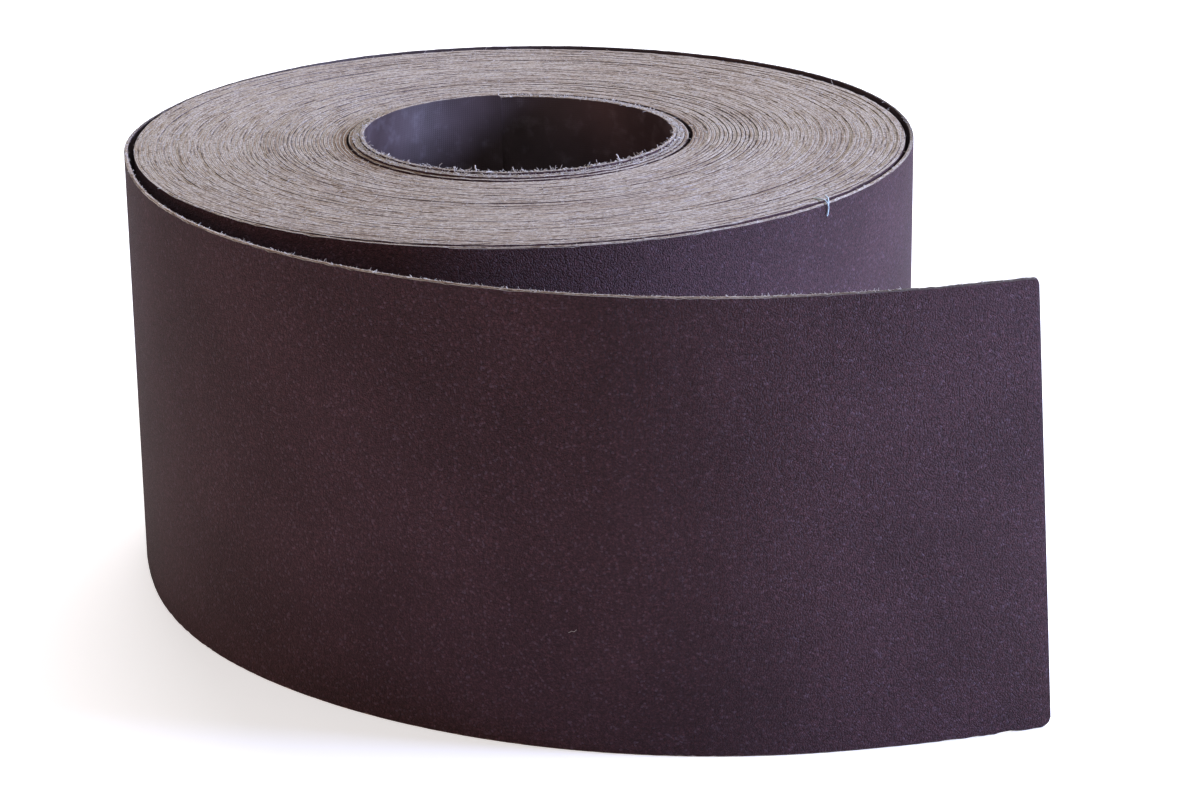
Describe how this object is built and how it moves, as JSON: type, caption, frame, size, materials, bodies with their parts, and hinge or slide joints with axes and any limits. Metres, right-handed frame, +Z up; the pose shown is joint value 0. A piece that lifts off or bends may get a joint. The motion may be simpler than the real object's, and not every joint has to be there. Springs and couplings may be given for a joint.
{
  "type": "coreless abrasive cloth roll",
  "caption": "Coreless roll of brown abrasive cloth standing on its cut edge, grit side out, with a tail that curls free in front.",
  "frame": {"origin": "on the axis of the bore, in the plane of the cut edge that the roll stands on", "axes": "+Z up the bore's axis, -Y the side where the free tail passes in front, +X towards the tail's cut end"},
  "size_m": [0.2067, 0.2302, 0.1],
  "materials": {
    "cloth_backing": "resin-stiffened woven cotton, cut edge",
    "abrasive_grit": "closed-coat brown aluminium oxide grain in resin, matt"
  },
  "bodies": {
    "roll": {"wound_pack_cloth": "cloth_backing", "wound_pack_grit": "abrasive_grit", "inner_wraps_cloth": "cloth_backing", "inner_wraps_grit": "abrasive_grit", "inner_turn_cloth": "cloth_backing", "inner_turn_grit": "abrasive_grit", "last_turn_cloth": "cloth_backing", "last_turn_grit": "abrasive_grit"},
    "inner_end": {"inner_end_cloth": "cloth_backing", "inner_end_grit": "abrasive_grit"},
    "tail_1": {"tail_1_cloth": "cloth_backing", "tail_1_grit": "abrasive_grit"},
    "tail_2": {"tail_2_cloth": "cloth_backing", "tail_2_grit": "abrasive_grit"},
    "tail_3": {"tail_3_cloth": "cloth_backing", "tail_3_grit": "abrasive_grit"},
    "tail_4": {"tail_4_cloth": "cloth_backing", "tail_4_grit": "abrasive_grit"},
    "tail_5": {"tail_5_cloth": "cloth_backing", "tail_5_grit": "abrasive_grit"},
    "tail_6": {"tail_6_cloth": "cloth_backing", "tail_6_grit": "abrasive_grit"}
  },
  "joints": [
    {"name": "inner_end_lift", "type": "hinge", "parent": "roll", "child": "inner_end", "pos_m": [-0.02268, 0.02977, 0.05], "axis": [0, 0, -1], "range_deg": [0, 30], "stiffness_Nm_per_rad": 0.08},
    {"name": "tail_peel", "type": "hinge", "parent": "roll", "child": "tail_1", "pos_m": [-0.09145, -0.0154, 0.05], "axis": [0, 0, -1], "range_deg": [-1, 30], "stiffness_Nm_per_rad": 0.12},
    {"name": "tail_straighten", "type": "hinge", "parent": "tail_1", "child": "tail_2", "pos_m": [-0.07793, -0.05705, 0.05], "axis": [0, 0, -1], "range_deg": [-8, 17], "stiffness_Nm_per_rad": 0.12},
    {"name": "tail_bend_3", "type": "hinge", "parent": "tail_2", "child": "tail_3", "pos_m": [-0.05255, -0.09266, 0.05], "axis": [0, 0, -1], "range_deg": [-8.65, 18.37], "stiffness_Nm_per_rad": 0.12},
    {"name": "tail_bend_4", "type": "hinge", "parent": "tail_3", "child": "tail_4", "pos_m": [-0.01711, -0.11833, 0.05], "axis": [0, 0, -1], "range_deg": [-8.17, 17.35], "stiffness_Nm_per_rad": 0.12},
    {"name": "tail_bend_5", "type": "hinge", "parent": "tail_4", "child": "tail_5", "pos_m": [0.02446, -0.13196, 0.05], "axis": [0, 0, -1], "range_deg": [-8.57, 18.2], "stiffness_Nm_per_rad": 0.12},
    {"name": "tail_bend_6", "type": "hinge", "parent": "tail_5", "child": "tail_6", "pos_m": [0.06821, -0.13179, 0.05], "axis": [0, 0, -1], "range_deg": [-6.73, 14.29], "stiffness_Nm_per_rad": 0.12}
  ],
  "couplings": [
    {"joint": "tail_bend_3", "follows": "tail_straighten", "ratio": 1.08},
    {"joint": "tail_bend_4", "follows": "tail_straighten", "ratio": 1.02},
    {"joint": "tail_bend_5", "follows": "tail_straighten", "ratio": 1.07},
    {"joint": "tail_bend_6", "follows": "tail_straighten", "ratio": 0.84}
  ]
}
